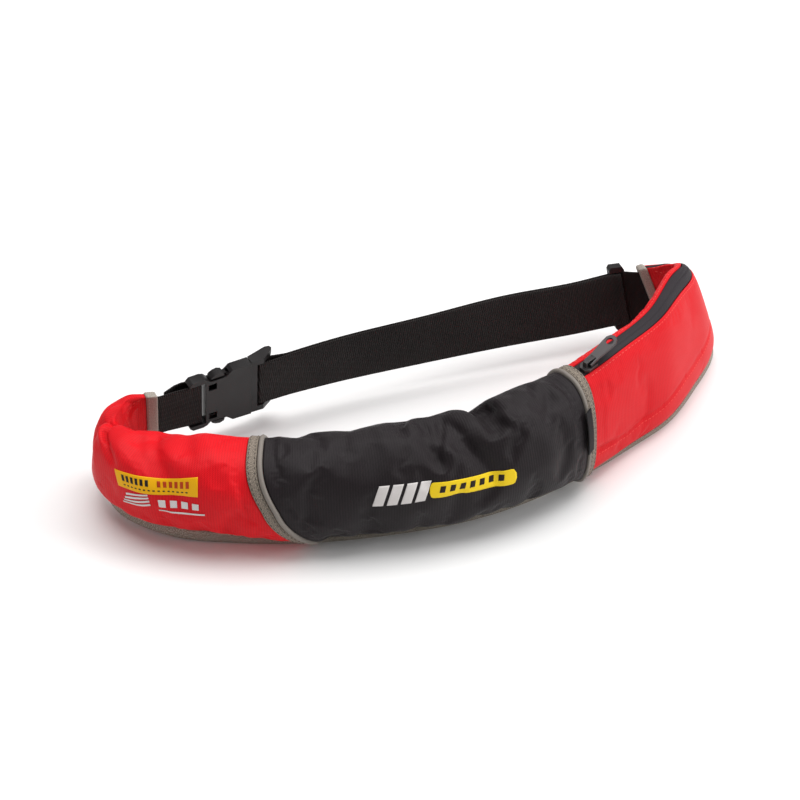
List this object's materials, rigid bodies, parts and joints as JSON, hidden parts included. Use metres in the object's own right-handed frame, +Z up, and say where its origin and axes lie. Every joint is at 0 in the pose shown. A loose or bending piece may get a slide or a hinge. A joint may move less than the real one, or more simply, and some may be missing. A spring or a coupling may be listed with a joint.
{
  "type": "inflatable belt pack",
  "caption": "Padded belt pack closed into a loop: soft red and black pouch with grey bindings, zipped end pocket, webbing belt, side-release buckle and strap adjuster.",
  "frame": {"origin": "under the middle of the bounding box, on the plane the pack stands on", "axes": "+X along the long way of the loop from the buckle end to the pocket end, +Y from the padded front to the webbing at the back, +Z up"},
  "size_m": [0.4542, 0.1744, 0.0948],
  "materials": {
    "red_cloth": "matt coated cloth",
    "black_cloth": "matt coated cloth",
    "grey_binding": "woven tape",
    "grey_piping": "smooth tape round a cord",
    "zip_tape": "coated tape",
    "webbing": "ribbed woven band",
    "black_plastic": "satin moulded plastic",
    "dark_metal": "satin"
  },
  "bodies": {
    "pack": {"left_cover": "red_cloth", "left_seam_binding": "grey_binding", "left_piping": "grey_piping", "middle_cover": "black_cloth", "right_piping": "grey_piping", "right_seam_binding": "grey_binding", "side_tag": "black_cloth", "pocket_front": "red_cloth", "zip_tape": "zip_tape", "pocket_back": "red_cloth", "lower_binding": "grey_binding", "left_end_binding": "grey_binding", "right_end_binding": "grey_binding", "left_strap": "webbing", "belt_strap": "webbing", "buckle_socket": "black_plastic", "buckle_plug": "black_plastic", "strap_adjuster": "black_plastic", "zip_slider": "dark_metal"},
    "pull": {"zip_pull": "dark_metal"}
  },
  "joints": [
    {"name": "zip_pull_hinge", "type": "hinge", "parent": "pack", "child": "pull", "pos_m": [0.08495, -0.04221, 0.08462], "axis": [0.4, -0.9091, -0.116], "range_deg": [-8, 150]}
  ]
}
